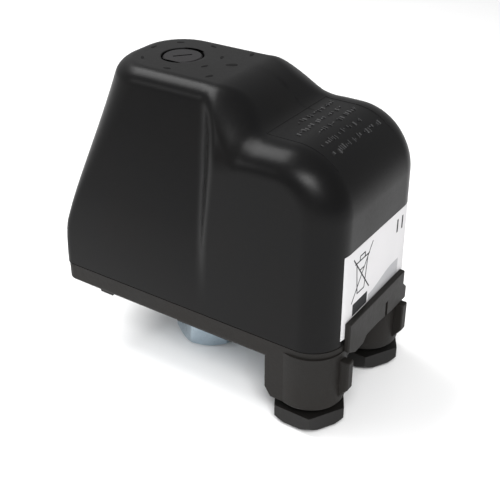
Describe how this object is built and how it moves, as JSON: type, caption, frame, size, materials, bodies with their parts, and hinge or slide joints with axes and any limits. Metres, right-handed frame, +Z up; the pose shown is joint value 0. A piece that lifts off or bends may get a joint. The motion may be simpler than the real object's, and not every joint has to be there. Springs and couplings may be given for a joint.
{
  "type": "pressure switch",
  "caption": "Compressor pressure switch: black domed cover on a moulded base, hexagonal steel pressure port below, hexagonal cable nuts, rocker lever, range spring and contact block inside.",
  "frame": {"origin": "centre of the pressure port's mouth, on the lower face of the hexagon", "axes": "+Z up through the cover, +X along the length towards the cable end, +Y across to the rear cable nut"},
  "size_m": [0.1067, 0.0604, 0.1024],
  "materials": {
    "cover_plastic": "satin moulded black",
    "screw_plastic": "satin moulded black",
    "label_sheet": "matt printed sheet",
    "base_plastic": "coarse moulded black",
    "nut_plastic": "moulded black",
    "rubber": "matt",
    "zinc_steel": "bright zinc plate",
    "lever_steel": "yellow zinc plate",
    "turned_steel": "turned",
    "spring_steel": "oiled wire",
    "brass": "rolled strip",
    "block_resin": "thermoset moulding",
    "carrier_plastic": "natural nylon"
  },
  "bodies": {
    "base_body": {"base": "base_plastic", "cover_gasket": "rubber", "front_cable_seal": "rubber", "rear_cable_seal": "rubber", "port_connector": "zinc_steel", "flange_plate": "zinc_steel", "flange_screws": "zinc_steel", "diaphragm": "rubber", "frame": "zinc_steel", "pivot_pin": "turned_steel", "pivot_clips": "zinc_steel", "range_stud": "turned_steel", "range_spring": "spring_steel", "differential_stud": "turned_steel", "differential_spring": "spring_steel", "contact_block": "block_resin", "block_screws": "zinc_steel", "line_contacts": "brass", "load_contacts": "brass", "line_clamps": "zinc_steel", "load_clamps": "zinc_steel", "line_terminal_screws": "zinc_steel", "load_terminal_screws": "zinc_steel", "earth_plate": "zinc_steel", "earth_screws": "zinc_steel"},
    "cover_body": {"cover": "cover_plastic", "rating_label": "label_sheet"},
    "cover_screw_body": {"cover_screw": "screw_plastic", "screw_retainer": "zinc_steel"},
    "front_washer_body": {"front_clamp_washer": "zinc_steel"},
    "front_nut_body": {"front_cable_nut": "nut_plastic"},
    "rear_washer_body": {"rear_clamp_washer": "zinc_steel"},
    "rear_nut_body": {"rear_cable_nut": "nut_plastic"},
    "rocker_body": {"rocker_lever": "lever_steel", "range_spring_seat": "lever_steel", "differential_spring_seat": "lever_steel"},
    "piston_body": {"pressure_plate": "lever_steel"},
    "carrier_body": {"contact_carrier": "carrier_plastic", "contact_springs": "spring_steel", "contact_bridges": "brass"},
    "range_cap_body": {"range_cap": "zinc_steel"},
    "range_nut_body": {"range_nut": "turned_steel"},
    "differential_cap_body": {"differential_cap": "zinc_steel"},
    "differential_nut_body": {"differential_nut": "turned_steel"}
  },
  "joints": [
    {"name": "cover_lift", "type": "slide", "parent": "base_body", "child": "cover_body", "axis": [0, 0, 1], "range_m": [0, 0.08]},
    {"name": "cover_screw_turn", "type": "hinge", "parent": "cover_body", "child": "cover_screw_body", "pos_m": [-0.0088, 0, 0.1004], "axis": [0, 0, 1], "range_deg": [0, 1800]},
    {"name": "front_washer_travel", "type": "slide", "parent": "base_body", "child": "front_washer_body", "axis": [0, 0, -1], "range_m": [0, 0.003]},
    {"name": "front_nut_turn", "type": "hinge", "parent": "front_washer_body", "child": "front_nut_body", "pos_m": [0.0521, -0.0189, 0.0024], "axis": [0, 0, -1], "range_deg": [0, 724]},
    {"name": "rear_washer_travel", "type": "slide", "parent": "base_body", "child": "rear_washer_body", "axis": [0, 0, -1], "range_m": [0, 0.003]},
    {"name": "rear_nut_turn", "type": "hinge", "parent": "rear_washer_body", "child": "rear_nut_body", "pos_m": [0.0521, 0.0189, 0.0024], "axis": [0, 0, -1], "range_deg": [0, 724]},
    {"name": "rocker_tilt", "type": "hinge", "parent": "base_body", "child": "rocker_body", "pos_m": [0.018, 0, 0.0406], "axis": [0, 1, 0], "range_deg": [0, 6], "stiffness_Nm_per_rad": 1.5, "springref_deg": -8.59, "deforming": ["range_spring", "differential_spring"]},
    {"name": "piston_lift", "type": "slide", "parent": "base_body", "child": "piston_body", "axis": [0, 0, 1], "range_m": [0, 0.00106]},
    {"name": "carrier_travel", "type": "slide", "parent": "base_body", "child": "carrier_body", "axis": [0, 0, -1], "range_m": [0, 0.0018]},
    {"name": "range_cap_travel", "type": "slide", "parent": "base_body", "child": "range_cap_body", "axis": [0, 0, -1], "range_m": [-0.004, 0.004], "deforming": ["range_spring"]},
    {"name": "range_nut_turn", "type": "hinge", "parent": "range_cap_body", "child": "range_nut_body", "pos_m": [-0.0088, 0, 0.0784], "axis": [0, 0, -1], "range_deg": [-1444, 1444]},
    {"name": "differential_cap_travel", "type": "slide", "parent": "base_body", "child": "differential_cap_body", "axis": [0, 0, -1], "range_m": [-0.0021, 0.0021], "deforming": ["differential_spring"]},
    {"name": "differential_nut_turn", "type": "hinge", "parent": "differential_cap_body", "child": "differential_nut_body", "pos_m": [-0.0265, 0, 0.0604], "axis": [0, 0, -1], "range_deg": [-1084, 1084]}
  ],
  "couplings": [
    {"joint": "front_nut_turn", "follows": "front_washer_travel", "rad_per_m": 4188.8},
    {"joint": "rear_nut_turn", "follows": "rear_washer_travel", "rad_per_m": 4188.8},
    {"joint": "piston_lift", "follows": "rocker_tilt", "m_per_rad": 0.01},
    {"joint": "carrier_travel", "follows": "rocker_tilt", "m_per_rad": 0.017},
    {"joint": "range_nut_turn", "follows": "range_cap_travel", "rad_per_m": 6283.2},
    {"joint": "differential_nut_turn", "follows": "differential_cap_travel", "rad_per_m": 8976}
  ]
}
